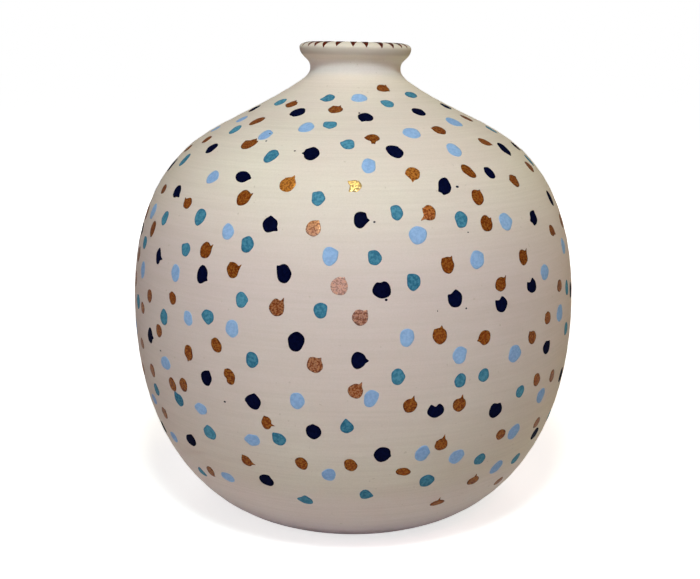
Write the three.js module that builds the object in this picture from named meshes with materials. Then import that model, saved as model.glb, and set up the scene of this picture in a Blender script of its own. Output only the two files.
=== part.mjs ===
// Round vase: a ceramic ball vase with a narrow neck, a flared rim and a flat foot.
// Millimetres, +Z up, the origin at the centre of the face that it stands on.
// Its clay is three sections, each turned round the vertical axis, that meet in two level joints:
// a lower bowl with the foot, an upper bowl that closes in over it, and a collar with the neck and rim.
import * as THREE from "three";

// Outside radii, in millimetres
const footRadius = 69.5; // where the wall starts to round up off the table
const bodyRadius = 124; // at the belly, the widest place
const collarRadius = 66; // where the collar sits on the upper bowl
const throatRadius = 24.9; // at the narrowest place of the neck
const rimFlare = 5.8; // how far the lip stands out past the throat

// Heights, in millimetres, each from the one before
const bellyHeight = 112; // from the table to the belly, where the two bowls meet
const shoulderHeight = 105.5; // to the level cut that the collar sits on
const collarHeight = 27; // to the throat
const flareHeight = 10.5; // to the widest place of the lip
const lipHeight = 3; // to the lip's crest, the top of the vase

// Thickness of the clay, in millimetres
const bodyWall = 6;
const throatWall = 5.4;
const floorThickness = 7.5;
const lipDepth = 7; // from the lip's crest down to the straight bore of the mouth

// Underside, in millimetres
const footRingWidth = 9; // the flat ring that the vase stands on
const footRecess = 1.8; // how far the middle is trimmed back inside that ring

// How the outline swells: the slope of the shoulder where the collar sits on it, in degrees,
// how far in the lip's crest lies, as a share of the lip's width,
// and the reach of each curve's ends, as a share of the height or width that the curve covers
const shoulderSlope = 26;
const crestShare = 0.6;
const footReach = 0.09;
const lowerBellyReach = 0.79;
const upperBellyReach = 0.745;
const shoulderReach = 0.375;
const collarReach = 1.14;
const throatReach = 0.11;
const flareReach = 0.49;

// Facets: steps round the axis, and steps along each curve of the outline
const turnSteps = 72;
const bowlSteps = 13;
const collarSteps = 7;
const flareSteps = 5;
const lipSteps = 4;

// Levels above the table, and the radii that follow from the ones above
const collarLevel = bellyHeight + shoulderHeight;
const throatLevel = collarLevel + collarHeight;
const rimLevel = throatLevel + flareHeight;
const crestLevel = rimLevel + lipHeight;
const slope = THREE.MathUtils.degToRad(shoulderSlope);
const innerBodyRadius = bodyRadius - bodyWall;
const innerCollarRadius = collarRadius - bodyWall / Math.sin(slope);
const mouthRadius = throatRadius - throatWall;
const rimRadius = throatRadius + rimFlare;
const crestRadius = rimRadius - crestShare * (rimRadius - mouthRadius);

// Points of an outline are (radius, height).
function point(radius, height) {
  return new THREE.Vector2(radius, height);
}

// The lower bowl's wall, from a level edge on the foot or the floor up to the belly
function lowerWall(edgeRadius, edgeHeight, radius) {
  return new THREE.CubicBezierCurve(
    point(edgeRadius, edgeHeight),
    point(edgeRadius + footReach * (radius - edgeRadius), edgeHeight),
    point(radius, bellyHeight - lowerBellyReach * (bellyHeight - edgeHeight)),
    point(radius, bellyHeight)
  );
}

// The upper bowl's wall, from the belly up and in to the collar's joint
function upperWall(radius, jointRadius) {
  const reach = shoulderReach * (radius - jointRadius);
  return new THREE.CubicBezierCurve(
    point(radius, bellyHeight),
    point(radius, bellyHeight + upperBellyReach * shoulderHeight),
    point(jointRadius + reach * Math.cos(slope), collarLevel - reach * Math.sin(slope)),
    point(jointRadius, collarLevel)
  );
}

// The collar's wall, from its joint on the shoulder up to the throat
function collarWall(jointRadius, neckRadius) {
  const reach = collarReach * (jointRadius - neckRadius);
  return new THREE.CubicBezierCurve(
    point(jointRadius, collarLevel),
    point(jointRadius - reach * Math.cos(slope), collarLevel + reach * Math.sin(slope)),
    point(neckRadius, throatLevel - throatReach * collarHeight),
    point(neckRadius, throatLevel)
  );
}

// The outside of the rim, flaring from the throat out to the widest place of the lip
function rimWall() {
  const reach = flareReach * flareHeight;
  return new THREE.CubicBezierCurve(
    point(throatRadius, throatLevel),
    point(throatRadius, throatLevel + reach),
    point(rimRadius, rimLevel - reach),
    point(rimRadius, rimLevel)
  );
}

// The lip's round over the top: a quarter of an ellipse outside the crest and another inside it
function lipRound() {
  const outside = new THREE.EllipseCurve(
    crestRadius,
    rimLevel,
    rimRadius - crestRadius,
    lipHeight,
    0,
    Math.PI / 2
  );
  const inside = new THREE.EllipseCurve(
    crestRadius,
    crestLevel - lipDepth,
    crestRadius - mouthRadius,
    lipDepth,
    Math.PI / 2,
    Math.PI
  );
  return [...outside.getPoints(lipSteps), ...inside.getPoints(lipSteps).slice(1)];
}

// A section turned from its outline, which either closes on itself or starts and ends on the axis
function turned(name, outline, colour) {
  const geometry = new THREE.LatheGeometry(outline, turnSteps);
  geometry.rotateX(Math.PI / 2);
  const material = new THREE.MeshStandardMaterial({ color: colour, roughness: 0.85, metalness: 0 });
  const mesh = new THREE.Mesh(geometry, material);
  mesh.name = name;
  return mesh;
}

// The bowl stands on a flat ring round a shallow trimmed recess, and its wall is cut level at the belly.
function lowerBowl() {
  const recessRadius = footRadius - footRingWidth;
  const outside = lowerWall(footRadius, 0, bodyRadius).getPoints(bowlSteps);
  const inside = lowerWall(footRadius, floorThickness, innerBodyRadius).getPoints(bowlSteps);
  const outline = [
    point(0, footRecess),
    point(recessRadius - footRecess, footRecess),
    point(recessRadius, 0),
    ...outside,
    ...inside.reverse(),
    point(0, floorThickness),
  ];
  return turned("lower_bowl", outline, 0xd8ccbb);
}

// The upper bowl sits rim to rim on the lower one, and is cut level at the top for the collar.
function upperBowl() {
  const outside = upperWall(bodyRadius, collarRadius).getPoints(bowlSteps);
  const inside = upperWall(innerBodyRadius, innerCollarRadius).getPoints(bowlSteps);
  const outline = [...outside, ...inside.reverse(), outside[0]];
  return turned("upper_bowl", outline, 0xdfd4c3);
}

// The collar closes the shoulder in, draws up into the neck and flares to a thick round lip.
function neckCollar() {
  const outside = collarWall(collarRadius, throatRadius).getPoints(collarSteps);
  const inside = collarWall(innerCollarRadius, mouthRadius).getPoints(collarSteps);
  const outline = [
    ...outside,
    ...rimWall().getPoints(flareSteps).slice(1),
    ...lipRound().slice(1),
    ...inside.reverse(),
    outside[0],
  ];
  return turned("neck_collar", outline, 0xe4d9c8);
}

const roundVase = new THREE.Group();
roundVase.add(lowerBowl(), upperBowl(), neckCollar());

export default roundVase;
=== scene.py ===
import math
import random
from bisect import bisect_right

import bmesh
import bpy
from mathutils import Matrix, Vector
from mathutils.geometry import interpolate_bezier


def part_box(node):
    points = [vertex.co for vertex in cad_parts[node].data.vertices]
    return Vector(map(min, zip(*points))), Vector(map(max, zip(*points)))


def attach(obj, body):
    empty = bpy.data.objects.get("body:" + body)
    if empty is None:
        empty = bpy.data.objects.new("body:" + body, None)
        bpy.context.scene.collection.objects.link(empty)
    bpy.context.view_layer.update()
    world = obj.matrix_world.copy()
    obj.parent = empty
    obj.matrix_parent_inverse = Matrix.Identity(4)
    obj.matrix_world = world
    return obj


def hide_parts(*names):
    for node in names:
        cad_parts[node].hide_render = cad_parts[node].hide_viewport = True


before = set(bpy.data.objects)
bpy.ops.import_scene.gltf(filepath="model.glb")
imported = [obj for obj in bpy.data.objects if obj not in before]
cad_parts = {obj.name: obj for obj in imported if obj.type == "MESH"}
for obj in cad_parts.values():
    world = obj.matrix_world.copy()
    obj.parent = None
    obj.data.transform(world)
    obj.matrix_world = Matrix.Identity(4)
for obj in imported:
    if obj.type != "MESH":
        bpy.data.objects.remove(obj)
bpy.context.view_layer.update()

mm = 0.001
print("frame loaded,", len(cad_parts), "clay sections")


# Camera: level with the rim, a step back, looking slightly down at the belly
view = {
    "imageWidth": 700,
    "focalPixels": 986.6,
    "axisColumn": 353.2,  # the picture column that the vase's axis falls on
    "rowsDown": 0.5,  # and how many rows the vase is moved down
    "place": (0, -558 * mm, 248 * mm),
    "lookDown": 13.08,
    "sensorWidth": 36,
    "clip": (0.01, 100),
}


def makeCamera():
    data = bpy.data.cameras.new("studio_camera")
    data.sensor_width = view["sensorWidth"]
    data.lens = data.sensor_width * view["focalPixels"] / view["imageWidth"]
    data.shift_x = 0.5 - view["axisColumn"] / view["imageWidth"]
    data.shift_y = view["rowsDown"] / view["imageWidth"]
    data.clip_start, data.clip_end = view["clip"]
    camera = bpy.data.objects.new("studio_camera", data)
    camera.location = view["place"]
    camera.rotation_euler = (math.radians(90 - view["lookDown"]), 0, 0)
    bpy.context.collection.objects.link(camera)
    bpy.context.scene.camera = camera


makeCamera()
print("camera set")


# Shader sums: a socket in Python, so that an expression on values adds its Math nodes
class Socket:
    def __init__(self, tree, out=None):
        self.tree = tree
        self.out = out

    def node(self, kind, settings={}, inputs={}, take=0):
        made = self.tree.nodes.new("ShaderNode" + kind)
        for name, value in settings.items():
            setattr(made, name, value)
        for name, value in inputs.items():
            if isinstance(value, Socket):
                self.tree.links.new(value.out, made.inputs[name])
            else:
                made.inputs[name].default_value = value
        return Socket(self.tree, made.outputs[take] if made.outputs else None)

    def math(self, operation, first, second=0, clamp=False):
        settings = {"operation": operation, "use_clamp": clamp}
        return self.node("Math", settings, {0: first, 1: second})

    def mix(self, factor, first, second):
        return self.node("Mix", {"data_type": "RGBA"}, {0: factor, 6: first, 7: second}, take=2)

    def between(self, low, high):
        # 0 below low, 1 above high, eased between them
        inputs = {"Value": self, "From Min": low, "From Max": high}
        return self.node("MapRange", {"interpolation_type": "SMOOTHSTEP"}, inputs)

    def __add__(self, other):
        return self.math("ADD", self, other)

    def __radd__(self, other):
        return self.math("ADD", other, self)

    def __sub__(self, other):
        return self.math("SUBTRACT", self, other)

    def __rsub__(self, other):
        return self.math("SUBTRACT", other, self)

    def __mul__(self, other):
        return self.math("MULTIPLY", self, other)

    def __rmul__(self, other):
        return self.math("MULTIPLY", other, self)


def screen(red, green, blue):
    # a colour as seen on screen, 0 to 255, turned into the shader's linear one
    def linear(value):
        share = value / 255
        return share / 12.92 if share <= 0.04045 else ((share + 0.055) / 1.055) ** 2.4
    return (linear(red), linear(green), linear(blue), 1)


def newMaterial(name):
    material = bpy.data.materials.new(name)
    material.use_nodes = True
    material.node_tree.nodes.clear()
    return material, Socket(material.node_tree)


def output(tree, shader):
    tree.node("OutputMaterial", inputs={"Surface": shader})


def noise(tree, place, scale, detail=2, roughness=0.5):
    inputs = {"Vector": place, "Scale": scale, "Detail": detail, "Roughness": roughness}
    return tree.node("TexNoise", inputs=inputs)


def bumped(tree, height):
    # the heights are real ones, in metres
    return tree.node("Bump", inputs={"Strength": 1, "Distance": 1, "Height": height})


clayFinish = {
    "cream": screen(231, 223, 212),
    "pink": screen(229, 216, 209),
    "straw": screen(230, 221, 205),
    "strawShare": 0.6,
    # painted shade: a darker, pinker band round the belly
    "bellyShade": screen(222, 206, 207),
    "bellyShadeReach": (50 * mm, 165 * mm, 225 * mm),  # the climbs where it starts, peaks and ends
    "bellyShadeShare": 0.8,
    # painted shade: darker and purpler towards the foot, where the vase meets the floor
    "foot": screen(186, 169, 184),
    "footReach": 46 * mm,
    "footShare": 0.9,
    # rings of colour, each with the climbs where it starts, is full, fades and ends: lighter and pinker
    # low on the wall, painted light round the throat, and painted shade just under the lip
    "lightAndShadeRings": (
        (screen(236, 221, 220), -20 * mm, -10 * mm, 46 * mm, 70 * mm),
        # painted light round the throat
        (screen(236, 229, 228), 306 * mm, 311 * mm, 313 * mm, 317 * mm),
        # painted shade under the lip
        (screen(198, 187, 178), 318.5 * mm, 320.5 * mm, 322 * mm, 324.5 * mm),
    ),
    "lightAndShadeShare": 0.85,
    "shade": screen(196, 184, 172),
    # the levels of a texture between which its colour comes in, and how much the last four darken
    "clouds": (0.35, 0.65),
    "warmth": (0.4, 0.7),
    "streaks": (0.3, 0.75, 0.17),
    "bands": (0.45, 0.8, 0.11),
    "grains": (0.35, 0.65, 0.12),
    "specks": (0.74, 0.8, 0.5),
    "cloudScale": 16,
    "warmthScale": 7,
    "speckScale": 420,
    "brushPitch": 1.3 * mm,
    "streakScale": 22,  # round the vase, where the streaks and bands are long
    "bandScale": 9,
    "bandsPerStreak": 0.22,
    "brushDepth": 0.04 * mm,
    "grain": 0.75 * mm,
    "grainDepth": 0.04 * mm,
    "roughness": 0.88,
    "roughnessVariety": 0.1,
    "specular": 0.3,
}


def clayMaterial():
    look = clayFinish
    material, tree = newMaterial("painted_clay")
    place = tree.node("TexCoord", take="Object")
    climb = tree.node("Attribute", {"attribute_name": "climb"}, take="Fac")
    side = tree.node("SeparateXYZ", inputs={0: place}, take=0)
    depth = tree.node("SeparateXYZ", inputs={0: place}, take=1)

    def brushed(across, up):
        # slip brushed on as the vase turned: marks far longer than they are wide
        return tree.node("CombineXYZ", inputs={0: side * across, 1: depth * across, 2: climb * up})

    perMetre = 1 / look["brushPitch"]
    streaks = noise(tree, brushed(look["streakScale"], perMetre), 1, detail=2.5, roughness=0.55)
    bands = noise(tree, brushed(look["bandScale"], look["bandsPerStreak"] * perMetre), 1)
    clouds = noise(tree, place, look["cloudScale"], detail=3)
    warmth = noise(tree, place, look["warmthScale"], detail=1)
    grains = noise(tree, place, 1 / look["grain"], roughness=0.6)
    specks = noise(tree, place, look["speckScale"], detail=1)

    colour = tree.mix(clouds.between(*look["clouds"]), look["cream"], look["pink"])
    colour = tree.mix(warmth.between(*look["warmth"]) * look["strawShare"], colour, look["straw"])
    # painted shade round the belly
    low, middle, high = look["bellyShadeReach"]
    bellyShade = climb.between(low, middle) * (1 - climb.between(middle, high))
    colour = tree.mix(bellyShade * look["bellyShadeShare"], colour, look["bellyShade"])
    # the rings: a lighter one low on the wall, painted light round the throat and painted shade under the
    # lip
    for ringColour, start, full, fade, end in look["lightAndShadeRings"]:
        ring = climb.between(start, full) * (1 - climb.between(fade, end))
        colour = tree.mix(ring * look["lightAndShadeShare"], colour, ringColour)
    # painted shade at the foot, fading out over footReach
    foot = 1 - climb.between(0, look["footReach"])
    colour = tree.mix(foot * look["footShare"], colour, look["foot"])
    shading = (("streaks", streaks), ("bands", bands), ("grains", grains), ("specks", specks))
    for name, texture in shading:
        low, high, share = look[name]
        colour = tree.mix(texture.between(low, high) * share, colour, look["shade"])
    height = streaks * look["brushDepth"] + grains * look["grainDepth"]
    variety = look["roughnessVariety"]
    shader = tree.node("BsdfPrincipled", inputs={
        "Base Color": colour,
        "Roughness": grains * variety + (look["roughness"] - 0.5 * variety),
        "Specular IOR Level": look["specular"],
        "Normal": bumped(tree, height),
    })
    output(tree, shader)
    return material


# Paints: each dab has its own tone, from 0 to 1, and the paint gathers darker along its edge
paintFinish = {
    "mottleScale": 700,
    "mottleRange": (0.35, 0.65),
    "mottleDepth": 0.04 * mm,
    "grainScale": 1100,
    "grainDepth": 0.01 * mm,
    "toneShare": 0.45,  # how much of a dab's colour is its own tone, the rest being mottle
    "edgeRange": (0.7, 0.95),  # where the edge's colour starts and is full, on the way out
    "flakeRange": (0.46, 0.6),
    "roughnessVariety": 0.2,
}


def paintGlints(tree, colour, place, grain, look):
    # painted glints: lamp reflections painted on chosen dabs, orange where faint, and pinkish low on the
    # wall where the flash is reflected
    level = tree.node("SeparateXYZ", inputs={0: place}, take=2)
    glintStrength = tree.node("Attribute", {"attribute_name": "glint"}, take="Fac")
    bright = tree.mix(glintStrength.between(*look["glintFaintRange"]), look["glintFaint"], look["glint"])
    glintColour = tree.mix(level.between(*look["flashGlintLevels"]), look["flashGlint"], bright)
    colour = tree.mix(glintStrength * glintStrength * look["glintCover"], colour, glintColour)
    low, high, share = look["glintGrains"]
    return tree.mix(grain.between(low, high) * glintStrength * share, colour, glintColour)


def paintMaterial(name, look):
    look = {**paintFinish, **look}
    material, tree = newMaterial(name)
    place = tree.node("TexCoord", take="Object")
    tone = tree.node("Attribute", {"attribute_name": "tone"}, take="Fac")
    mottle = noise(tree, place, look["mottleScale"], roughness=0.6)
    grain = noise(tree, place, look["grainScale"], roughness=0.6)
    share = look["toneShare"]
    blend = tone * share + mottle.between(*look["mottleRange"]) * (1 - share)
    colour = tree.mix(blend, look["dark"], look["light"])
    if "edge" in look:
        outward = tree.node("Attribute", {"attribute_name": "outward"}, take="Fac")
        edge = outward.between(*look["edgeRange"]) * look["edgeShare"]
        colour = tree.mix(edge, colour, look["edge"])
    # painted lamp glints on the dabs that carry them
    if "glint" in look:
        colour = paintGlints(tree, colour, place, grain, look)
    flakes = 0
    if "flake" in look:
        flakes = grain.between(*look["flakeRange"]) * look["flakeShare"]
        colour = tree.mix(flakes, colour, look["flake"])
    variety = look["roughnessVariety"]
    shader = tree.node("BsdfPrincipled", inputs={
        "Base Color": colour,
        "Roughness": grain * variety + (look["roughness"] - 0.5 * variety),
        "Metallic": flakes,
        "Specular IOR Level": look["specular"],
        "Normal": bumped(tree, mottle * look["mottleDepth"] + grain * look["grainDepth"]),
    })
    output(tree, shader)
    return material


# The clay's outline, the one that the three solids are turned from, in finer steps.
# The levels and the widest radii are read off the solids.
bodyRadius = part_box("upper_bowl")[1].x
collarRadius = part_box("neck_collar")[1].x
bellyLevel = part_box("lower_bowl")[1].z
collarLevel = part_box("upper_bowl")[1].z
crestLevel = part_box("neck_collar")[1].z

clay = {
    "footRadius": 69.5 * mm,
    "throatRadius": 24.9 * mm,
    "mouthRadius": 19.5 * mm,
    "rimFlare": 5.8 * mm,
    "flareHeight": 10.5 * mm,
    "lipHeight": 3 * mm,
    "lipDepth": 7 * mm,
    "crestShare": 0.6,
    "wall": 6 * mm,
    "floor": 7.5 * mm,
    "footRing": 9 * mm,
    "footRecess": 1.8 * mm,
    "footRounding": 0.6 * mm,
    "roundingSteps": 3,
    "shoulderSlope": math.radians(26),
    "footReach": 0.09,
    "lowerBellyReach": 0.79,
    "upperBellyReach": 0.745,
    "shoulderReach": 0.375,
    "collarReach": 1.14,
    "throatReach": 0.11,
    "flareReach": 0.49,
    "turnSteps": 256,
    "lowerSteps": 84,
    "upperSteps": 80,
    "neckSteps": 32,
    "lipSteps": 12,
    "innerLowerSteps": 40,
    "innerUpperSteps": 36,
    "innerNeckSteps": 22,
    "mergeGap": 0.002 * mm,
    "cornerGap": 0.1 * mm,
    "sharpAngle": 38,
    "neckShift": 1.2 * mm,  # the neck was set this far off the body's axis
    "rimLean": 0.021,  # and its rim isn't quite level
    "leanPivot": -12 * mm,
    "throwingRipple": 0.05 * mm,  # soft rings left by the fingers
    "throwingPitch": 9 * mm,
    "slowRipple": (0.6, 0.43, 1.1),  # a slower ripple on it: its share, its pace and its start
    "collarRidge": 0.07 * mm,  # the ring where the collar was luted on
    "collarRidgeWidth": 1.5 * mm,
}

slope = clay["shoulderSlope"]
rimLevel = crestLevel - clay["lipHeight"]
throatLevel = rimLevel - clay["flareHeight"]
rimRadius = clay["throatRadius"] + clay["rimFlare"]
crestRadius = rimRadius - clay["crestShare"] * (rimRadius - clay["mouthRadius"])
innerBodyRadius = bodyRadius - clay["wall"]
innerCollarRadius = collarRadius - clay["wall"] / math.sin(slope)
roundHandle = 0.5523  # how far a handle reaches for a quarter of an ellipse


def spots(*places):
    return [Vector((radius, 0, height)) for radius, height in places]


def curve(start, startHandle, endHandle, end, steps):
    return interpolate_bezier(*spots(start, startHandle, endHandle, end), steps + 1)


def lowerWall(edgeRadius, edgeHeight, radius, steps):
    rise = bellyLevel - edgeHeight
    return curve(
        (edgeRadius, edgeHeight),
        (edgeRadius + clay["footReach"] * (radius - edgeRadius), edgeHeight),
        (radius, bellyLevel - clay["lowerBellyReach"] * rise),
        (radius, bellyLevel),
        steps,
    )


def upperWall(radius, jointRadius, steps):
    reach = clay["shoulderReach"] * (radius - jointRadius)
    return curve(
        (radius, bellyLevel),
        (radius, bellyLevel + clay["upperBellyReach"] * (collarLevel - bellyLevel)),
        (jointRadius + reach * math.cos(slope), collarLevel - reach * math.sin(slope)),
        (jointRadius, collarLevel),
        steps,
    )


def collarWall(jointRadius, neckRadius, steps):
    reach = clay["collarReach"] * (jointRadius - neckRadius)
    return curve(
        (jointRadius, collarLevel),
        (jointRadius - reach * math.cos(slope), collarLevel + reach * math.sin(slope)),
        (neckRadius, throatLevel - clay["throatReach"] * (throatLevel - collarLevel)),
        (neckRadius, throatLevel),
        steps,
    )


def rimWall(steps):
    reach = clay["flareReach"] * clay["flareHeight"]
    return curve(
        (clay["throatRadius"], throatLevel),
        (clay["throatRadius"], throatLevel + reach),
        (rimRadius, rimLevel - reach),
        (rimRadius, rimLevel),
        steps,
    )


def lipOutside(steps):
    return curve(
        (rimRadius, rimLevel),
        (rimRadius, rimLevel + roundHandle * clay["lipHeight"]),
        (crestRadius + roundHandle * (rimRadius - crestRadius), crestLevel),
        (crestRadius, crestLevel),
        steps,
    )


def lipInside(steps):
    boreLevel = crestLevel - clay["lipDepth"]
    return curve(
        (crestRadius, crestLevel),
        (crestRadius - roundHandle * (crestRadius - clay["mouthRadius"]), crestLevel),
        (clay["mouthRadius"], boreLevel + roundHandle * clay["lipDepth"]),
        (clay["mouthRadius"], boreLevel),
        steps,
    )


def joined(*stretches):
    whole = list(stretches[0])
    for stretch in stretches[1:]:
        whole += stretch[1:]
    return whole


def waysAlong(outline, start=0):
    ways = [start]
    for before, after in zip(outline, outline[1:]):
        ways.append(ways[-1] + (after - before).length)
    return ways


# A place on the outside is its turn about the axis and its climb, the way up the wall
# from the foot's edge. Climb runs on past the crest down the inside.
lowerOutside = lowerWall(clay["footRadius"], 0, bodyRadius, clay["lowerSteps"])
upperOutside = upperWall(bodyRadius, collarRadius, clay["upperSteps"])
neckOutside = collarWall(collarRadius, clay["throatRadius"], clay["neckSteps"])
collarOutside = joined(neckOutside, rimWall(clay["lipSteps"]), lipOutside(clay["lipSteps"]))
outside = joined(lowerOutside, upperOutside, collarOutside)
overLip = joined(outside, lipInside(clay["lipSteps"]))
climbs = waysAlong(overLip)
bellyClimb = climbs[clay["lowerSteps"]]
collarClimb = climbs[clay["lowerSteps"] + clay["upperSteps"]]
crestClimb = climbs[len(outside) - 1]


def relief(climb):
    phase = 2 * math.pi * climb / clay["throwingPitch"]
    share, pace, start = clay["slowRipple"]
    ripple = math.sin(phase) + share * math.sin(pace * phase + start)
    fade = min(climb, crestClimb - climb) / clay["throwingPitch"]
    ridge = math.exp(-((climb - collarClimb) / clay["collarRidgeWidth"]) ** 2)
    return clay["throwingRipple"] * ripple * min(max(fade, 0), 1) + clay["collarRidge"] * ridge


def setByHand(spot):
    # the body keeps to its axis, and the neck and rim don't quite
    share = min(max((spot.z - collarLevel) / (throatLevel - collarLevel), 0), 1)
    share *= share * (3 - 2 * share)
    sink = clay["rimLean"] * (spot.x - clay["leanPivot"])
    return spot + share * Vector((clay["neckShift"], 0, -sink))


def outlineAt(climb):
    index = min(max(bisect_right(climbs, climb) - 1, 0), len(overLip) - 2)
    share = (climb - climbs[index]) / (climbs[index + 1] - climbs[index])
    along = (overLip[index + 1] - overLip[index]).normalized()
    return overLip[index].lerp(overLip[index + 1], share), Vector((along.z, 0, -along.x))


def onWall(turn, climb, lift):
    spot, outward = outlineAt(climb)
    spot = spot + outward * (lift + relief(climb))
    return setByHand(Vector((spot.x * math.sin(turn), -spot.x * math.cos(turn), spot.z)))


def vertsOf(items):
    return [item for item in items if isinstance(item, bmesh.types.BMVert)]


def finished(bm, name, material, sharpAngle=None):
    mesh = bpy.data.meshes.new(name)
    bm.to_mesh(mesh)
    bm.free()
    mesh.polygons.foreach_set("use_smooth", [True] * len(mesh.polygons))
    if sharpAngle:
        mesh.set_sharp_from_angle(angle=math.radians(sharpAngle))
    mesh.materials.append(material)
    piece = bpy.data.objects.new(name, mesh)
    bpy.context.collection.objects.link(piece)
    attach(piece, "root")
    return piece


def wallStretch(outline, start):
    places = []
    for spot, climb in zip(outline, waysAlong(outline, start)):
        places.append((spot + outlineAt(climb)[1] * relief(climb), climb))
    return places


def plainStretch(outline, start):
    return list(zip(outline, waysAlong(outline, start)))


def turned(places, closed):
    bm = bmesh.new()
    climbLayer = bm.verts.layers.float.new("climb")
    verts = []
    for spot, climb in places:
        vert = bm.verts.new(spot)
        vert[climbLayer] = climb
        verts.append(vert)
    edges = [bm.edges.new(pair) for pair in zip(verts, verts[1:])]
    if closed:
        edges.append(bm.edges.new((verts[-1], verts[0])))
    bmesh.ops.spin(
        bm,
        geom=verts + edges,
        cent=(0, 0, 0),
        axis=(0, 0, 1),
        angle=2 * math.pi,
        steps=clay["turnSteps"],
        use_merge=True,
    )
    bmesh.ops.remove_doubles(bm, verts=bm.verts, dist=clay["mergeGap"])
    bmesh.ops.recalc_face_normals(bm, faces=bm.faces)
    for vert in bm.verts:
        vert.co = setByHand(vert.co)
    return bm


def makeLowerBowl(material):
    recessRadius = clay["footRadius"] - clay["footRing"]
    corners = ((recessRadius, 0), (recessRadius - clay["footRecess"], clay["footRecess"]))
    middle = ((0.5 * recessRadius, clay["footRecess"]), (0, clay["footRecess"]))
    under = spots((clay["footRadius"], 0), *corners, *middle)
    underPlaces = [(spot, -way) for spot, way in plainStretch(under, 0)]
    floor = spots((0.5 * clay["footRadius"], clay["floor"]), (0, clay["floor"]))
    steps = clay["innerLowerSteps"]
    inside = lowerWall(clay["footRadius"], clay["floor"], innerBodyRadius, steps)[::-1] + floor
    places = underPlaces[:0:-1] + wallStretch(lowerOutside, 0) + plainStretch(inside, crestClimb)
    bm = turned(places, False)

    def onCorner(edge, corner):
        # both ends of the edge have the corner's radius and height
        ends = [Vector((vert.co.xy.length, vert.co.z)) for vert in edge.verts]
        return all((end - Vector(corner)).length < clay["cornerGap"] for end in ends)

    bmesh.ops.bevel(
        bm,
        geom=[edge for edge in bm.edges if any(onCorner(edge, corner) for corner in corners)],
        offset=clay["footRounding"],
        segments=clay["roundingSteps"],
        profile=0.5,
        affect="EDGES",
        material=-1,
    )
    piece = finished(bm, "lower_bowl_clay", material, clay["sharpAngle"])
    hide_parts("lower_bowl")


def makeUpperBowl(material):
    inside = upperWall(innerBodyRadius, innerCollarRadius, clay["innerUpperSteps"])[::-1]
    places = wallStretch(upperOutside, bellyClimb) + plainStretch(inside, crestClimb)
    bm = turned(places, True)
    piece = finished(bm, "upper_bowl_clay", material, clay["sharpAngle"])
    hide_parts("upper_bowl")


def makeNeckCollar(material):
    bore = collarWall(innerCollarRadius, clay["mouthRadius"], clay["innerNeckSteps"])[::-1]
    inside = lipInside(clay["lipSteps"])[1:] + bore
    places = wallStretch(collarOutside, collarClimb) + plainStretch(inside, crestClimb)
    bm = turned(places, True)
    piece = finished(bm, "neck_collar_clay", material, clay["sharpAngle"])
    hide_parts("neck_collar")


clayPaint = clayMaterial()
makeLowerBowl(clayPaint)
makeUpperBowl(clayPaint)
makeNeckCollar(clayPaint)
print("clay turned")


# Dabs: one touch of a round brush each. A mark is its turn in degrees and its climb in
# millimetres, then the clock hour of the flick that the brush left, its width, height and lean,
# the hour of a bite in its edge, and how strongly a painted lamp glint lies on it, from 0 to 1.
dabShape = {
    "points": 32,
    "crowd": 0.5,  # how much the points gather about the flick
    "shoulder": 0.9,  # where the paint's rounded edge ends, as a share of the way out
    "level": 0.7,  # and where its level top starts
    "egg": 0.07,  # how much fuller a mark is above its middle
    "lumps": ((2, 0.03), (3, 0.03), (5, 0.02)),
    "sizeVariety": 0.04,  # for marks that give no size
    "leans": (-12, 4),  # and for those that give no lean
    "sink": 0.03 * mm,  # how deep the edge lies in the clay
    "spread": 1.05,  # makes up for the sunk edge
    "upperClimb": 250,  # above it the marks are flatter
    "upperTall": 7,
    "sway": 0.5,  # how far a flick turns from straight out to straight up
    "swayWithin": 1.4,  # only where it starts within this of straight up, in radians
    "bite": (1.3, 1.2),  # depth and half width
}


def clockAngle(hour):
    return math.radians(90 - 30 * hour)


def makeBlank(bm):
    # a flat patch with a raised top, on a circle of radius 1; z is 0 at its edge and 1 on top
    bmesh.ops.create_circle(bm, cap_ends=True, segments=dabShape["points"], radius=1)
    raised = bmesh.ops.extrude_face_region(bm, geom=list(bm.faces))
    top = [item for item in raised["geom"] if isinstance(item, bmesh.types.BMFace)]
    rim = vertsOf(raised["geom"])
    bmesh.ops.translate(bm, verts=rim, vec=(0, 0, 1))
    bmesh.ops.scale(bm, verts=rim, vec=(dabShape["shoulder"], dabShape["shoulder"], 1))
    bmesh.ops.inset_region(bm, faces=top, thickness=dabShape["shoulder"] - dabShape["level"])
    bmesh.ops.poke(bm, faces=top)
    bmesh.ops.recalc_face_normals(bm, faces=bm.faces)


def push(hour, length, width, reach, isHorn):
    # a stretch of the edge moved out into a horn, or in for a bite
    centre = clockAngle(hour)
    upright = math.remainder(0.5 * math.pi - centre, 2 * math.pi)
    sways = isHorn and abs(upright) < dabShape["swayWithin"]
    way = centre + dabShape["sway"] * upright if sways else centre
    return centre, length * mm if isHorn else -length * mm, width / reach, way


def edgeSpot(angle, mark):
    across, up = 0.5 * mark["wide"] * mm, 0.5 * mark["tall"] * mm
    leaning = angle - mark["lean"]
    distance = across * up / math.hypot(up * math.cos(leaning), across * math.sin(leaning))
    distance *= dabShape["spread"] * (1 + dabShape["egg"] * math.sin(angle))
    for (count, size), phase in zip(dabShape["lumps"], mark["phases"]):
        distance *= 1 + size * math.sin(count * angle + phase)
    side, rise = distance * math.cos(angle), distance * math.sin(angle)
    for centre, length, width, way in mark["pushes"]:
        away = math.remainder(angle - centre, 2 * math.pi)
        moved = length * math.exp(-(away / width) ** 2)
        side += moved * math.cos(way)
        rise += moved * math.sin(way)
    return side, rise


def several(value):
    # none, one hour or (hour, length), or a list of these
    if value is None:
        return []
    return value if isinstance(value, list) else [value]


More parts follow.
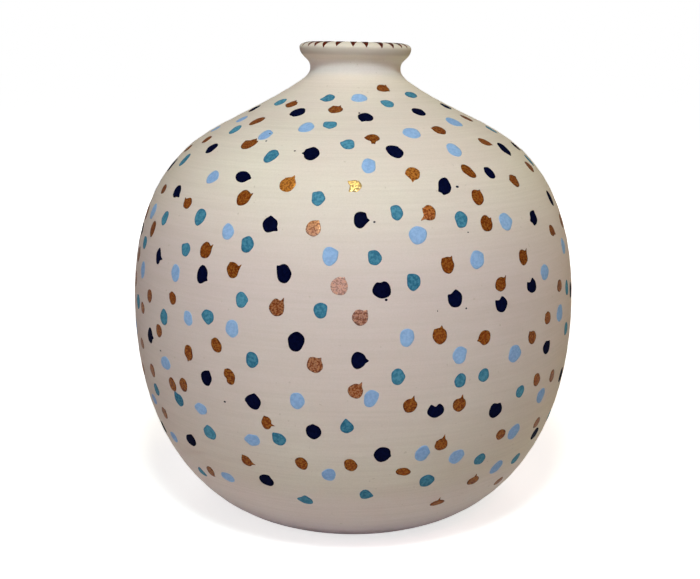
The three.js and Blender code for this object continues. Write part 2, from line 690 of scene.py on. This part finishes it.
def addDab(bm, blank, paint, turn, climb, flick=None, wide=None, tall=None, lean=None, bite=None, glint=0):
    chance = random.Random(f"{turn} {climb}")
    plainTall = dabShape["upperTall"] if climb > dabShape["upperClimb"] else paint["tall"]
    size = 1 + chance.uniform(-dabShape["sizeVariety"], dabShape["sizeVariety"])
    mark = {
        "wide": wide or paint["wide"] * size,
        "tall": tall or plainTall * size,
        "lean": math.radians(lean if lean is not None else chance.uniform(*dabShape["leans"])),
        "phases": [chance.uniform(0, 2 * math.pi) for lump in dabShape["lumps"]],
        "pushes": [],
    }
    tone = chance.random()
    reach = 0.25 * (mark["wide"] + mark["tall"])  # the mark's mean radius
    for place in several(flick):
        hour, length = place if isinstance(place, tuple) else (place, paint["flick"][0])
        mark["pushes"].append(push(hour, length, paint["flick"][1], reach, True))
    for place in several(bite):
        hour, depth = place if isinstance(place, tuple) else (place, dabShape["bite"][0])
        mark["pushes"].append(push(hour, depth, dabShape["bite"][1], reach, False))
    crowd = dabShape["crowd"] if mark["pushes"] else 0
    middle = mark["pushes"][0][0] if mark["pushes"] else 0
    radius = outlineAt(climb * mm)[0].x
    copy = bmesh.ops.duplicate(bm, geom=blank)
    toneLayer = bm.verts.layers.float["tone"]
    outwardLayer = bm.verts.layers.float["outward"]
    glintLayer = bm.verts.layers.float["glint"]
    for vert in vertsOf(copy["geom"]):
        share = vert.co.xy.length
        plain = math.atan2(vert.co.y, vert.co.x)
        side, rise = edgeSpot(plain - crowd * math.sin(plain - middle), mark)
        isEdge = vert.co.z < 0.5
        lift = -dabShape["sink"] if isEdge else paint["thickness"]
        vert[toneLayer] = tone
        vert[outwardLayer] = share
        # how strongly a painted lamp glint lies on this dab
        vert[glintLayer] = glint
        vert.co = onWall(math.radians(turn) + share * side / radius, climb * mm + share * rise, lift)


navy = {
    "slot": "navy_paint",
    "dark": screen(0, 2, 30),
    "light": screen(5, 13, 54),
    "edge": screen(0, 0, 14),
    "edgeShare": 0.6,
    "roughness": 0.7,
    "specular": 0.03,
    "thickness": 0.1 * mm,
    "wide": 7.8,
    "tall": 8.8,
    "flick": (1.5, 0.9),  # length and half width of the flick
    "front": (
        (5.9, 267.4, [(6.9, 1), (10, 0.3)], 7.9, 7.9, -10), (36.8, 271.8, (2, 0.4), 7.6, 7.8),
        (-30.3, 271.5, (6, 0.5), 7.9, 8.5, -20), (71.5, 275.5), (-74.8, 272),
        (-13, 235.2, [(9.2, 1.5), (10.2, 0.9), (12, 0.6)], 7.2, 9.2, 8),
        (13.3, 236.8, (1, 0.4), 7.6, 9.4, 25),
        (61, 233.1, (6.3, 0.7), 7.8, 9.8, -15), (-55, 234.6, None, 7.3, 7.8),
        (42.5, 219.9, None, 5.9, 7.8, 0, (12, 0.7)), (-32.2, 219, (3.2, 1), 8.6, 6.4, -12),
        (24.9, 214.4, [(8, 0.9), (1, 0.8), (6.8, 0.8)], 6.8, 8.6, -14), (-78.3, 217.6),
        (-56.3, 206.1, (3.9, 1.9), 7.6, 6.6, -15), (1.7, 198.7, [(3, 1.1), (1.3, 0.5)], 6.1, 8, -12),
        (70.2, 198.6, None, 7.2, 8.6), (72.3, 146.6, None, 7, 8.4), (77, 232.1, None, 7, 6.6),
        (-20.1, 195.3, [(4, 1.4), (12, 0.7)], 7.2, 7.6),
        (52.6, 192.6, [(8.6, 1.1), (1.4, 1.3), (6.8, 0.7)], 6.4, 7, -16), (-75.5, 179.4, None, 7, 6.4),
        (-15.4, 172.8, (10.3, 1.3), 6.7, 9, 3), (-55.1, 171.7, [(3.2, 2.4), (12, 0.6)], 5.2, 7.8, 8),
        (-36.8, 168.3, (4, 1.1), 6.6, 9), (6.2, 166.3, None, 8.6, 7.8, 0, (11.7, 0.9)),
        (22.9, 159.9, [(10, 0.9), (12.2, 0.4)], 7.2, 8, 0, (11, 0.3)),
        (46.1, 159.9, [(10, 0.8), (12.4, 0.7)], 8, 6.6, 0, (11.1, 1.2)),
        (35.3, 154.2, [(10, 0.9), (12.3, 0.5)], 7.2, 7.4, 0, (11.1, 0.7)), (-12.3, 141.7, None, 7.7, 9.2),
        (1.1, 133.6, (3, 1.5), 6.6, 8.2), (-58, 129.1, (3, 1.6), 6.6, 8.4),
        (52.6, 125.6, (1.5, 0.5), 7.5, 7.2, 0, (12.3, 0.4)), (-35.3, 117.5, (1, 0.7), 6.9, 7.8, -8),
        (-22.7, 109.8, [(12.3, 0.6), (9.3, 0.7)], 7.6, 8),
        (18.6, 106.2, [(10.8, 0.5), (12.8, 0.5)], 8.3, 7, 0, (11.8, 1.1)),
        (67.8, 101.2, None, 9, 8), (35, 100.5, (1.3, 0.4), 8.5, 8.2, 0, (12.2, 0.5)),
        (-8.9, 96.9, (11.9, 0.5), 7.2, 7.8, -18), (6.7, 84.4, (3.4, 0.7), 7.6, 8.9, -20),
        (-45.8, 76.9, (1, 0.5), 8.8, 7, 30), (57.4, 72.8, None, 8.8, 7.4, -15),
        (-65, 71.3, None, 7.4, 7.4), (-22.6, 63.6, (1, 0.5), 7.8, 7.6, -20),
    ),
}

bronze = {
    "slot": "bronze_paint",
    "dark": screen(106, 46, 10),
    "light": screen(144, 72, 24),
    "edge": screen(66, 22, 6),
    "edgeShare": 0.7,
    "flake": screen(200, 132, 56),
    "flakeShare": 0.5,
    # painted glints: lamp reflections painted on the dabs that catch them, pale gold, orange where faint
    # and pinkish low on the wall where the flash shows
    "glint": screen(255, 226, 150),
    "glintFaint": screen(240, 160, 70),
    "flashGlint": screen(240, 200, 196),
    "glintFaintRange": (0.5, 0.7),  # how strong the painted glint is where it turns from the faint colour to the full one
    "flashGlintLevels": (163 * mm, 185 * mm),  # the heights between which the painted flash reflection gives way
    "glintCover": 0.75,
    "glintGrains": (0.44, 0.56, 1.6),
    "roughness": 0.32,
    "specular": 0.1,
    "grainDepth": 0.04 * mm,
    "thickness": 0.1 * mm,
    "wide": 7.2,
    "tall": 8,
    "flick": (1.7, 0.55),
    "front": (
        (25.2, 296.2, [(1.7, 1.4), (4.4, 0.8)], 7, 6.6),
        (-41, 279.1, [(12, 1.6), (9, 0.6), (3, 0.6)], 7, 6),
        (-10, 275, [(1, 1.7), (11, 0.8)], 7.5, 7), (-49.2, 261, None, 6.6, 9, -18),
        (69.2, 261.8, None, 6.5, 7.6, 20), (36.3, 253, [(10, 0.8), (7.5, 0.5)], 7.2, 8),
        (7, 247.8, [(5.8, 2), (6.4, 2), (9.2, 1)], 6.6, 6.4),
        (-38.3, 240.4, [(12.8, 1), (10, 1.2), (2, 0.8)], 8.6, 8, 0, (11.4, 0.9)),
        (53.2, 240, (4.2, 1), 8, 6.2, -28), (-67, 239.9, None, 7.4, 5.8, -20),
        (-77, 230.6, None, 7, 5.8), (16.8, 222.4, [(6.5, 1.5), (9, 0.5)], 7.2, 7.2, 0, None, 0.3),
        (34.8, 221.9, None, 6, 8.8, 32), (68.8, 218.7, None, 7.5, 7),
        (-17.6, 216, [(0.9, 1.7), (11.2, 0.5)], 7.9, 7.9, 0, None, 0.42),
        (0.4, 216, [(10.2, 1), (7.4, 1.6)], 6.2, 6.4, 0, (9, 1), 0.7),
        (51.4, 213.4, [(2, 1), (9.5, 0.7)], 6.8, 7.2), (33.9, 207.2, (1.3, 1.2), 7, 8),
        (-29.2, 207.6, (2.2, 1.7), 7.3, 8.2), (-66.9, 205, None, 7.2, 5.4, -10),
        (-48.3, 201.4, (9.8, 1.8), 6.6, 6),
        (18.7, 201.2, [(7.8, 2.4), (10.3, 0.6)], 6.8, 7.4, 0, (9, 0.7), 0.2),
        (-9.3, 194.4, (1, 0.6), 6.7, 7.7, 0, None, 0.5), (34.1, 193.7, (2, 1.4), 6.8, 8.2), (-75.8, 188.6),
        (74, 184.6), (-62.7, 183.8, None, 6.5, 8.8), (61.1, 183.4, (4, 1.6), 6.8, 6, -12),
        (-36.8, 180, (2, 2.1), 7.3, 7.7), (21.6, 176, [(1.2, 1.5), (10.8, 0.6)], 6.6, 7.6),
        (44.1, 174.7, (1.7, 2.4), 6.7, 7.5), (-28.1, 172.5, [(2.2, 2.3), (11, 0.5)], 6.7, 7.4),
        (-3, 168, (1, 0.8), 8, 7.8, 0, None, 0.68), (-72, 166.6), (35.4, 164, (1.8, 2.4), 6.9, 6.8),
        (-16.7, 157.1, (1.3, 2.1), 7.1, 8.4, 0, (12.7, 0.6), 0.1), (60.3, 154.5, None, 7, 6.4, 20),
        (1.5, 153.8, (1.5, 0.9), 7, 7.8, 0, (12.6, 0.4), 0.36), (-46.5, 153.6, (10, 0.6), 5.6, 6.6, 18),
        (-73, 152.6), (-58.1, 150.2, None, 6.6, 6.6, 15),
        (19, 143.3, [(12.4, 1.5), (10.6, 0.4)], 7.2, 7.6, 30), (-63.2, 141.5, None, 6.6, 6, -10),
        (52.7, 141, (10.4, 0.6), 6.8, 6.2, 15), (30.3, 139.8, (8.6, 1.1), 7.1, 6.9),
        (-31.8, 135.4, (10.3, 0.5), 6, 7.4, 20), (-52.7, 134.3, None, 6.4, 6.6, 25),
        (45.8, 134, (10.8, 0.8), 6.4, 7, 22),
        (-8.2, 131.2, [(1.4, 1), (10.8, 0.4)], 7.3, 7.8, 0, (12.4, 0.6), 0.16),
        (-40.6, 128.4, (6.4, 1.2), 5.9, 8, 15), (-28.5, 120.9, (10.8, 0.4), 6, 8.4, 20, (8, 0.9)),
        (-65.6, 120.8, None, 7, 5.6, -15), (0.5, 118.6, (1.3, 2.2), 6.9, 7.2, 0, None, 0.12),
        (12.5, 110.2, (12.8, 2.3), 6.6, 7.1, 25), (-43.6, 110.1, None, 6, 7.6),
        (49.4, 109.8, None, 6.2, 7.4, 18), (-59, 109.4, None, 6.8, 7.2, 10),
        (-48.3, 107.8, None, 6.2, 7.6, 12), (24.4, 107.7, (12.6, 2.1), 6.8, 7.4, 25),
        (58.2, 106.8, None, 6.4, 7.2, 15), (-70, 103.6),
        (-19.9, 99.4, [(3.4, 2.1), (11.4, 0.8)], 5.2, 6.9),
        (20.9, 87, [(12.5, 2.7), (10.3, 0.6)], 6.9, 6.5, 28),
        (-57, 86.1, [(1.5, 0.9), (9, 0.6)], 6.6, 6.4, -20), (38.6, 84.9, None, 7, 5.8, -20),
        (55.5, 81.1, None, 7.2, 6.4, -20), (-0.6, 78.4, None, 5.9, 7.8, 18),
        (-12.3, 78.1, None, 5.9, 7.8, 20), (-27, 74.6, [(3.5, 1.8), (11.1, 0.9)], 5.6, 6.8, 20),
        (12.2, 73, None, 7.6, 4.8, -12), (-42.5, 58.2, (5, 0.6), 5.6, 7.4, -18),
        (34.1, 57.2, (12.2, 2), 7.8, 5.8, -10), (48.6, 45.6, None, 7.4, 6),
        (24.5, 45, (12.2, 2.6), 8, 4.7),
    ),
}

teal = {
    "slot": "teal_paint",
    "dark": screen(42, 104, 136),
    "light": screen(90, 158, 188),
    "edge": screen(36, 96, 128),
    "edgeShare": 0.5,
    "roughness": 0.65,
    "specular": 0.12,
    "thickness": 0.08 * mm,
    "wide": 6.9,
    "tall": 8,
    "flick": (1.4, 1.5),
    "front": (
        (48.4, 289.6, None, 9, 6.2, 12), (-17.7, 286.3, (8.5, 1.6), 6.2, 6.8),
        (21.4, 281, (10.3, 0.9), 6.6, 7.4), (-53.9, 280.6, None, 7.6, 7.2, -15),
        (-9.9, 259.8, [(10.3, 0.9), (1.7, 0.7), (6, 0.7)], 6.7, 6.4),
        (-55.2, 251.2, None, 6.4, 9.2, 28), (75.5, 248.1),
        (-1.7, 242.4, [(9.5, 1.2), (1, 0.5)], 6.4, 7.3), (-26.2, 232.6, (2.5, 1), 6.6, 8.8),
        (-66.6, 223.7, None, 7.2, 8.4), (76, 221.6),
        (-8.8, 209.2, [(10.3, 1.2), (6, 0.5), (3, 0.4)], 5.9, 7),
        (10.6, 201.9, (10.3, 0.7), 5.7, 7.3), (27, 197, (7.2, 0.4), 6.8, 7.9),
        (-41.4, 195.6, (2.5, 0.6), 7.2, 8.5), (-56.8, 191.2, None, 6.2, 7.8),
        (-25.1, 185.1, (10, 0.8), 6.4, 7.8), (4.8, 180.9, (10.5, 0.7), 6, 7),
        (-43.6, 178.7, (9.8, 0.9), 6.6, 6.4), (-66.8, 175, (10, 0.8), 7.4, 6.6, -15),
        (13.3, 169.2, (10.6, 0.8), 6.4, 7.6), (-25.3, 159.1, (2.8, 0.4), 6.2, 7.4),
        (-7, 156.7, [(1.7, 0.5), (10.3, 0.5)], 5.9, 7.4), (66.7, 150.6, None, 6.8, 8),
        (-34.2, 148.8, [(9.3, 0.7), (5.7, 0.5)], 7, 6.8), (-68, 142.6, None, 8.4, 7.8),
        (-50.1, 142.4, (12, 0.4), 7.3, 7.6), (-22.5, 131, (10, 0.4), 6.5, 7.6),
        (66.2, 128.6, None, 7.4, 7.2), (9.6, 125.1, (2.8, 0.4), 6.2, 8),
        (30.4, 121, None, 6.2, 6.8, -25), (24.2, 120.3, None, 6, 7.2, -20),
        (42.8, 106.9, None, 6.2, 6.6, -18), (-46.4, 100.3, (10.6, 1.6), 7.2, 7.2, 15),
        (-1.4, 99.8, (11.8, 2.2), 6.2, 5.8), (-58.6, 98.7, None, 6.8, 7, -15),
        (-17.2, 91, [(10.4, 1.3), (2.6, 0.8)], 6.6, 6.6), (-36.9, 86.7, (11.7, 0.7), 8.2, 7.7),
        (33.5, 72.3, None, 7.2, 7), (18.8, 64.8, None, 7.9, 8, -20), (51, 60.8, None, 8.2, 6.8, -20),
        (68.5, 76.2, None, 6.6, 7),
        (3.1, 58.5, (3.5, 1.3), 5.6, 6.8), (-48.2, 53.2, [(12.2, 1.2), (8.3, 0.7), (4, 0.6)], 6, 5.6),
        (-12.7, 52.2, [(9.3, 1.2), (12, 1.2), (4, 0.8)], 6.2, 5.8),
    ),
}

lightBlue = {
    "slot": "light_blue_paint",
    "dark": screen(132, 168, 219),
    "light": screen(160, 196, 241),
    "edge": screen(136, 178, 226),
    "edgeShare": 0.4,
    "roughness": 0.65,
    "specular": 0.12,
    "thickness": 0.08 * mm,
    "wide": 7.2,
    "tall": 8.8,
    "flick": (1, 1.4),
    "front": (
        (3.4, 286.7, None, 8, 7.8), (-64.8, 261.2, None, 6.8, 7), (-76.5, 248.6, None, 7, 6),
        (51.3, 259.6, None, 9.4, 9.6),
        (-19.5, 256.8, None, 7.8, 9.2, 12), (22.8, 251.3, None, 9, 9.4),
        (-34.8, 248.5, (2, 0.6), 7, 8.6, 15), (34.6, 236.2, None, 7.8, 9.8, -8),
        (4.4, 227.4, (1.7, 0.8), 6.6, 8.8), (-43.2, 217.1, (3.2, 0.7), 7.2, 7.7),
        (40.6, 193.4, (2.8, 0.6), 8, 9), (-67.3, 192, None, 8, 8.6), (15.1, 190.8, None, 8.3, 8.6, -15),
        (-31.1, 190.1, (11.5, 0.7), 6.8, 7.2), (-5.2, 181.6, (2.2, 0.8), 7, 8.4),
        (29.4, 177.1, (2, 0.5), 7.5, 8.8, -15), (68, 172.6, None, 7.8, 8.6),
        (-46.2, 166.3, None, 6.9, 8.4, 10), (52.3, 164.7, None, 7.8, 8, -25),
        (-64.7, 161, None, 7.2, 9.2, -10), (-40.5, 145.7, (10.5, 0.6), 6, 7.4, 8),
        (-27.5, 144.8, None, 7.2, 8.2), (11.5, 143.6, (1.7, 0.6), 6.6, 8.4, -8),
        (60, 140.1, None, 8.6, 9), (23.8, 132.9, (2.2, 0.6), 7, 8.6, -6),
        (39.5, 128.3, (2.8, 0.5), 8.6, 8.6), (-74, 125.6), (-50.4, 118.3, None, 9.2, 7, 12),
        (3.8, 114.8, (2, 0.8), 6.5, 8.4, -12), (-12.3, 112.8, None, 6.8, 8.4, -8),
        (-38.3, 99.7, (9.2, 0.7), 7.8, 6.4, 5), (53.1, 98.7, None, 8.4, 8.4),
        (-63.6, 89.8, None, 9, 6, 15), (-24.1, 88.4, [(9, 0.7), (1.3, 0.6)], 8.2, 6.2, 8),
        (43.7, 83.3, None, 8.8, 9), (16.3, 83, (2.8, 0.5), 7, 9), (25.7, 77.8, (2.7, 0.5), 8, 8.4, -10),
        (-5.9, 71.9, (1.3, 0.4), 6.6, 7.6, -15), (-56.6, 71.2, None, 8.6, 6.6, 25),
        (41.7, 61.7, None, 8.6, 8.6), (-35.7, 58.7, None, 8.6, 6.6, 5),
    ),
}

paints = {
    "navy_dabs": navy,
    "bronze_dabs": bronze,
    "teal_dabs": teal,
    "light_blue_dabs": lightBlue,
}

# The side away from the picture: the same mix, as evenly spread
back = {
    "firstTurn": 84,
    "lastTurn": 279,
    "lowestClimb": 45,
    "highestClimb": 297,
    "shoulderClimb": 235,  # from here up the picture shows a little more of the wall
    "shoulderNarrower": 9,
    "room": 330,  # square millimetres of wall to each dab
    "leastGap": 12.5,
    "tries": 14,
    "neighbours": 3,
    "sameAgain": 0.3,  # how much rarer a paint gets for each neighbour that has it
    "flicks": (1, 1, 2, 3, 9, 10, 12, None, None, None),  # the clock hours to draw from
    "seed": 11,
}


def scatterBack():
    chance = random.Random(back["seed"])
    taken = []
    for paint in paints.values():
        for mark in paint["front"]:
            taken.append((onWall(math.radians(mark[0]), mark[1] * mm, 0), paint["slot"]))
    area = 0
    for climb in range(back["lowestClimb"], back["highestClimb"]):
        radius = outlineAt(climb * mm)[0].x / mm
        area += radius * math.radians(back["lastTurn"] - back["firstTurn"])
    added = {name: [] for name in paints}
    names = list(paints)
    shares = [len(paints[name]["front"]) for name in names]
    for count in range(int(area / back["room"])):
        best = None
        for attempt in range(back["tries"]):
            climb = chance.uniform(back["lowestClimb"], back["highestClimb"])
            narrower = back["shoulderNarrower"] if climb > back["shoulderClimb"] else 0
            turn = chance.uniform(back["firstTurn"] + narrower, back["lastTurn"] - narrower)
            keep = chance.random() * bodyRadius < outlineAt(climb * mm)[0].x
            spot = onWall(math.radians(turn), climb * mm, 0)
            gap = min((spot - other).length for other, slot in taken)
            if keep and (best is None or gap > best[0]):
                best = (gap, turn, climb, spot)
        if best is None or best[0] < back["leastGap"] * mm:
            continue
        gap, turn, climb, spot = best
        near = sorted(taken, key=lambda other: (other[0] - spot).length)[:back["neighbours"]]
        nearSlots = [slot for other, slot in near]
        odds = []
        for name, share in zip(names, shares):
            odds.append(share * back["sameAgain"] ** nearSlots.count(paints[name]["slot"]))
        name = chance.choices(names, odds)[0]
        added[name].append((round(turn, 1), round(climb, 1), chance.choice(back["flicks"])))
        taken.append((spot, paints[name]["slot"]))
    return added


def makeDabs():
    added = scatterBack()
    for name, paint in paints.items():
        bm = bmesh.new()
        bm.verts.layers.float.new("tone")
        bm.verts.layers.float.new("outward")
        # the strength of a painted lamp glint on each dab
        bm.verts.layers.float.new("glint")
        makeBlank(bm)
        blank = bm.verts[:] + bm.edges[:] + bm.faces[:]
        for mark in list(paint["front"]) + added[name]:
            addDab(bm, blank, paint, *mark)
        bmesh.ops.delete(bm, geom=vertsOf(blank))
        finished(bm, name, paintMaterial(paint["slot"], paint))
        print(name, len(paint["front"]), "in front,", len(added[name]), "behind")


makeDabs()


# Rim strokes: short pointed touches from over the lip down its outer round
rimStrokes = {
    # turn in degrees, width and length below the crest in millimetres, and which way the tip leans
    "front": (
        (-70, 3.4, 7.6, 0.7), (-56.4, 4.1, 7.6, 0.7), (-45.8, 4.4, 7.6, 0.7), (-33.9, 3.9, 8.2, 0.4),
        (-18.2, 4, 7.4, -0.3), (-2.4, 3.6, 7.5, 0), (11.2, 3.6, 7.8, -0.2), (28.4, 3.8, 8.1, -0.9),
        (42.4, 4, 7.9, -1.1), (55.6, 4.3, 7.6, -1.1), (67, 4.2, 7.6, -1),
    ),
    "all": 25,
    "behind": (3, 8),  # the width and length of the others
    "inside": 1.6,  # how far they start inside the lip's crest
    "turnVariety": 1.5,
    "leanVariety": 1,
    "taper": 0.95,  # how much narrower the tip is
    "tip": 3,  # how late the narrowing and the thinning come: the higher, the nearer the tip
    "thinning": 1.6,  # the tone at the tip, where the paint runs thin
    "steps": (4, 12),
    "thickness": 0.07 * mm,
    "seed": 5,
}

rimPaint = {
    "dark": screen(12, 3, 2),
    "light": screen(116, 46, 28),
    "roughness": 0.6,
    "specular": 0.1,
}


def makeStrip(bm, across, along):
    # a square sheet from -1 to 1 with a raised copy over it; z is 0 below and 1 on top
    bmesh.ops.create_grid(bm, x_segments=across, y_segments=along, size=1)
    raised = bmesh.ops.extrude_face_region(bm, geom=list(bm.faces))
    bmesh.ops.translate(bm, verts=vertsOf(raised["geom"]), vec=(0, 0, 1))
    bmesh.ops.recalc_face_normals(bm, faces=bm.faces)


def makeRimStrokes(material):
    look = rimStrokes
    chance = random.Random(look["seed"])
    marks = list(look["front"])
    spare = look["all"] - len(marks)
    gap = (360 - marks[-1][0] + marks[0][0]) / (spare + 1)
    for count in range(spare):
        shift = chance.uniform(-look["turnVariety"], look["turnVariety"])
        turn = look["front"][-1][0] + gap * (count + 1) + shift
        lean = chance.uniform(-look["leanVariety"], look["leanVariety"])
        marks.append((turn, *look["behind"], lean))
    bm = bmesh.new()
    toneLayer = bm.verts.layers.float.new("tone")
    makeStrip(bm, *look["steps"])
    blank = bm.verts[:] + bm.edges[:] + bm.faces[:]
    for turn, wide, long, lean in marks:
        copy = bmesh.ops.duplicate(bm, geom=blank)
        for vert in vertsOf(copy["geom"]):
            down = 0.5 - 0.5 * vert.co.y
            late = down ** look["tip"]
            side = (0.5 * wide * (1 - look["taper"] * late) * vert.co.x + lean * down) * mm
            climb = crestClimb + (look["inside"] - (look["inside"] + long) * down) * mm
            lift = look["thickness"] if vert.co.z > 0.5 else -look["thickness"]
            vert[toneLayer] = look["thinning"] * late
            vert.co = onWall(math.radians(turn) + side / outlineAt(climb)[0].x, climb, lift)
    bmesh.ops.delete(bm, geom=vertsOf(blank))
    finished(bm, "rim_strokes", material)


makeRimStrokes(paintMaterial("rim_paint", rimPaint))
print("rim strokes")


# Specks: drops of navy that fell off the brush
specks = {
    # turn, climb, width and height
    "places": (
        (-18.9, 237.1, 1.2, 1), (3, 271.8, 1, 1.3), (5, 197.9, 1.2, 0.9), (7.1, 161.9, 1.4, 1.2),
        (28.7, 213.9, 1.8, 1.3), (25.5, 155.3, 1, 0.9), (28.1, 190.7, 0.9, 0.6), (-52.4, 124.2, 1.6, 0.8),
        (-30.4, 107.4, 1.4, 1), (-33.3, 250.1, 1.8, 1.6), (-31.9, 243.8, 1.2, 1), (18.5, 155.4, 0.6, 0.6),
    ),
    "thickness": 0.1 * mm,
    "tone": 0.3,
    "subdivisions": 2,
}


def makeSpecks(material):
    bm = bmesh.new()
    toneLayer = bm.verts.layers.float.new("tone")
    for turn, climb, wide, tall in specks["places"]:
        drop = bmesh.ops.create_icosphere(bm, subdivisions=specks["subdivisions"], radius=1)
        for vert in drop["verts"]:
            vert[toneLayer] = specks["tone"]
            side, up, out = vert.co
            turnHere = math.radians(turn) + 0.5 * wide * mm * side / outlineAt(climb * mm)[0].x
            vert.co = onWall(turnHere, (climb + 0.5 * tall * up) * mm, out * specks["thickness"])
    finished(bm, "navy_specks", material)


makeSpecks(bpy.data.materials["navy_paint"])
print("specks")


# Studio: a pale floor that runs out of sight, with lamps above the vase and round it
studio = {
    "floorSize": 30,
    "floorGap": 0.1 * mm,  # keeps the foot ring's face clear of the floor's
    "floorColour": (0.75, 0.75, 0.75, 1),
    "floorGlow": 0.7,
    "shadowReach": (0.12, 0.34),  # the floor's own light takes over between these, out from the vase
    "surroundings": (1, 1, 1, 1),
    "inGloss": 0.12,  # how bright they are in a gloss
    "aim": (0, 0, 0.13),
    "noGloss": ("left", "behind", "rear"),  # lamps that don't show in a gloss
    "lamps": (
        # name, place, width, power, colour
        ("near", (0, -0.5, 0.72), 0.12, 3.25, (0.79, 1, 0.97)),
        ("left", (-1.2, -1.2, 0.8), 0.8, 6, (1, 0.83, 0.8)),
        ("right", (0.5, -0.9, 1.2), 0.4, 2.4, (1, 0.32, 0.42)),
        ("behind", (1.2, 0.5, 0.4), 0.8, 3.5, (1, 0.97, 0.5)),
        ("ceiling", (0, -0.5, 1.45), 0.3, 2.1, (1, 0.7, 0.22)),
        ("rear", (0, 1.3, 0.35), 0.6, 7.5, (0.97, 0.92, 0.9)),
        ("flash", (-0.03, -0.56, 0.3), 0.05, 0.06, (1, 1, 1)),
    ),
}


def seenDirectly(tree):
    # 1 for what the camera sees, less in a gloss, and 0 for light that falls on the vase
    camera = tree.node("LightPath", take="Is Camera Ray")
    glossy = tree.node("LightPath", take="Is Glossy Ray")
    through = tree.node("LightPath", take="Is Transmission Ray")
    return tree.math("ADD", camera + glossy * studio["inGloss"], through, clamp=True)


def makeFloor():
    bm = bmesh.new()
    bmesh.ops.create_grid(bm, x_segments=1, y_segments=1, size=0.5 * studio["floorSize"])
    bmesh.ops.translate(bm, vec=(0, 0, -studio["floorGap"]), verts=bm.verts)
    mesh = bpy.data.meshes.new("studio_floor")
    bm.to_mesh(mesh)
    bm.free()
    material, tree = newMaterial("studio_floor")
    place = tree.node("TexCoord", take="Object")
    away = tree.node("VectorMath", {"operation": "LENGTH"}, {0: place}, take="Value")
    far = away.between(*studio["shadowReach"])
    diffuse = tree.node("BsdfDiffuse", inputs={"Color": studio["floorColour"]})
    strength = seenDirectly(tree) * (far * (1 - studio["floorGlow"]) + studio["floorGlow"])
    glow = tree.node("Emission", inputs={"Strength": strength})
    output(tree, tree.node("AddShader", inputs={0: diffuse, 1: glow}))
    mesh.materials.append(material)
    floor = bpy.data.objects.new("studio_floor", mesh)
    bpy.context.collection.objects.link(floor)


def makeWorld():
    world = bpy.data.worlds.new("studio_world")
    world.use_nodes = True
    world.node_tree.nodes.clear()
    tree = Socket(world.node_tree)
    inputs = {"Color": studio["surroundings"], "Strength": seenDirectly(tree)}
    light = tree.node("Background", inputs=inputs)
    tree.node("OutputWorld", inputs={"Surface": light})
    bpy.context.scene.world = world


def makeLamps():
    for name, place, width, power, colour in studio["lamps"]:
        data = bpy.data.lights.new(name + "_lamp", "AREA")
        data.shape = "SQUARE"
        data.size = width
        data.energy = power
        data.color = colour
        lamp = bpy.data.objects.new(name + "_lamp", data)
        lamp.location = place
        way = Vector(studio["aim"]) - Vector(place)
        lamp.rotation_euler = way.to_track_quat("-Z", "Y").to_euler()
        lamp.visible_glossy = name not in studio["noGloss"]
        bpy.context.collection.objects.link(lamp)


makeFloor()
makeWorld()
makeLamps()
bpy.context.scene.view_settings.view_transform = "Standard"
print("studio set")
